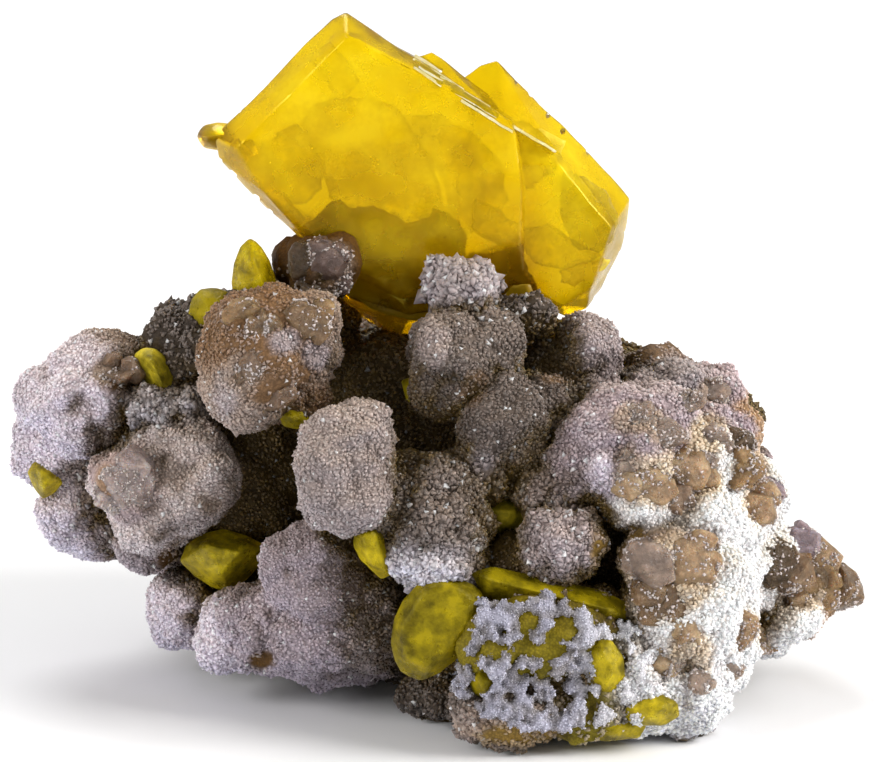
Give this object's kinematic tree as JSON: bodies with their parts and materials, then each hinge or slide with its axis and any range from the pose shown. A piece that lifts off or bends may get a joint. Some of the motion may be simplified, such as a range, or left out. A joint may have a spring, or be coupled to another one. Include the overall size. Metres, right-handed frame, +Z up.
{
  "type": "native sulfur crystal specimen on matrix",
  "caption": "Mineral specimen: a large see-through golden sulfur crystal standing on a lumpy, sparkling druse-coated matrix with small sulfur and tan calcite crystals seated in it.",
  "frame": {"origin": "middle of the specimen's box, on the flat trimmed underside it rests on", "axes": "+Z up from the resting face, +X to the viewer's right from the display side, +Y away from the display side to the back"},
  "size_m": [0.0913, 0.0597, 0.0735],
  "materials": {
    "sulfur_large": "see-through golden yellow crystal, glossy, with milky veils",
    "sulfur_small": "see-through olive-yellow crystal, satin",
    "calcite": "translucent tan to peach calcite, waxy",
    "druse_matrix": "sugary lavender-grey and white drusy crust over dark brown stone"
  },
  "bodies": {
    "root": {"calcite_face_left": "calcite", "calcite_face_low": "calcite", "calcite_face_pair": "calcite", "calcite_far_right": "calcite", "calcite_left_boss": "calcite", "calcite_right_ridge": "calcite", "calcite_right_upper": "calcite", "calcite_shoulder": "calcite", "calcite_side_low": "calcite", "matrix": "druse_matrix", "sulfur_back_left": "sulfur_small", "sulfur_back_right": "sulfur_small", "sulfur_back_upper": "sulfur_small", "sulfur_blade_upper_left": "sulfur_small", "sulfur_center_pocket": "sulfur_small", "sulfur_center_prism": "sulfur_small", "sulfur_foot_edge": "sulfur_small", "sulfur_foot_right": "sulfur_small", "sulfur_front_band": "sulfur_small", "sulfur_front_disc": "sulfur_small", "sulfur_gap_center": "sulfur_small", "sulfur_gap_left": "sulfur_small", "sulfur_gap_right": "sulfur_small", "sulfur_lace_right": "sulfur_small", "sulfur_lace_window": "sulfur_small", "sulfur_left_edge": "sulfur_small", "sulfur_left_saddle": "sulfur_small", "sulfur_lower_left": "sulfur_small", "sulfur_main": "sulfur_large", "sulfur_stub_upper_left": "sulfur_small"}
  },
  "joints": []
}
